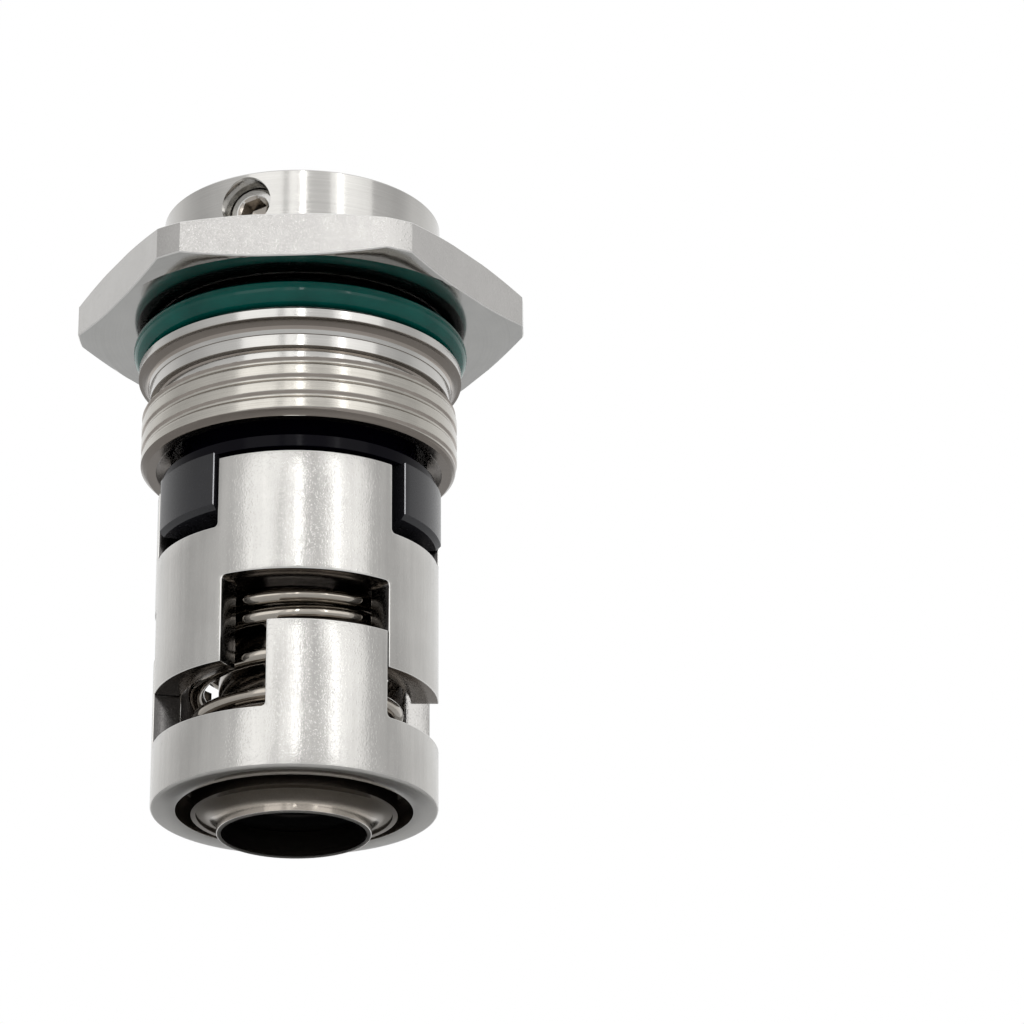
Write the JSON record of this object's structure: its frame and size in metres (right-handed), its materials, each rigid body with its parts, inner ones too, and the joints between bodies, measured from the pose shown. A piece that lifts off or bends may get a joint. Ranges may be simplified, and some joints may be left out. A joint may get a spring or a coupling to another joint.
{
  "type": "cartridge shaft seal",
  "caption": "Cartridge shaft seal for a vertical pump: hex screw-in carrier, lock collar, spring-loaded seal ring and crenellated drive cage on a thin sleeve.",
  "frame": {"origin": "on the shaft axis, in the plane where the hex flange seats on the pump head", "axes": "+Z along the shaft towards the lock collar; -Y is the side that the picture shows"},
  "size_m": [0.0514, 0.048, 0.0739],
  "materials": {
    "turned_steel": "fine turned",
    "blasted_steel": "satin blasted",
    "sleeve_steel": "bright drawn",
    "spring_wire": "bright wire",
    "screw_steel": "bright",
    "green_elastomer": "gloss",
    "black_elastomer": "satin",
    "seal_face": "satin ceramic"
  },
  "bodies": {
    "carrier": {"seal_carrier": "turned_steel", "carrier_o_ring": "green_elastomer", "stationary_seat": "seal_face", "seat_o_ring": "green_elastomer"},
    "seal_head": {"seal_ring": "seal_face", "seal_ring_o_ring": "black_elastomer", "drive_cage": "blasted_steel", "spring": "spring_wire"},
    "rotor": {"driver_ring": "blasted_steel", "shaft_sleeve": "sleeve_steel", "end_bush": "sleeve_steel", "shaft_o_ring": "black_elastomer", "lock_collar": "turned_steel"},
    "screw_1": {"set_screw_1": "screw_steel"},
    "screw_2": {"set_screw_2": "screw_steel"},
    "screw_3": {"set_screw_3": "screw_steel"}
  },
  "joints": [
    {"name": "rotor_spin", "type": "hinge", "parent": "carrier", "child": "seal_head", "pos_m": [0, 0, 0], "axis": [0, 0, 1], "continuous": true},
    {"name": "rotor_lift", "type": "slide", "parent": "seal_head", "child": "rotor", "axis": [0, 0, 1], "range_m": [0, 0.0054], "stiffness_N_per_m": 6000, "springref_m": -0.005, "deforming": ["spring"]},
    {"name": "screw_1_travel", "type": "slide", "parent": "rotor", "child": "screw_1", "axis": [-0.4067, -0.9135, 0], "range_m": [-0.0008, 0.002]},
    {"name": "screw_2_travel", "type": "slide", "parent": "rotor", "child": "screw_2", "axis": [0.9945, 0.1045, 0], "range_m": [-0.0008, 0.002]},
    {"name": "screw_3_travel", "type": "slide", "parent": "rotor", "child": "screw_3", "axis": [-0.5878, 0.809, 0], "range_m": [-0.0008, 0.002]}
  ]
}
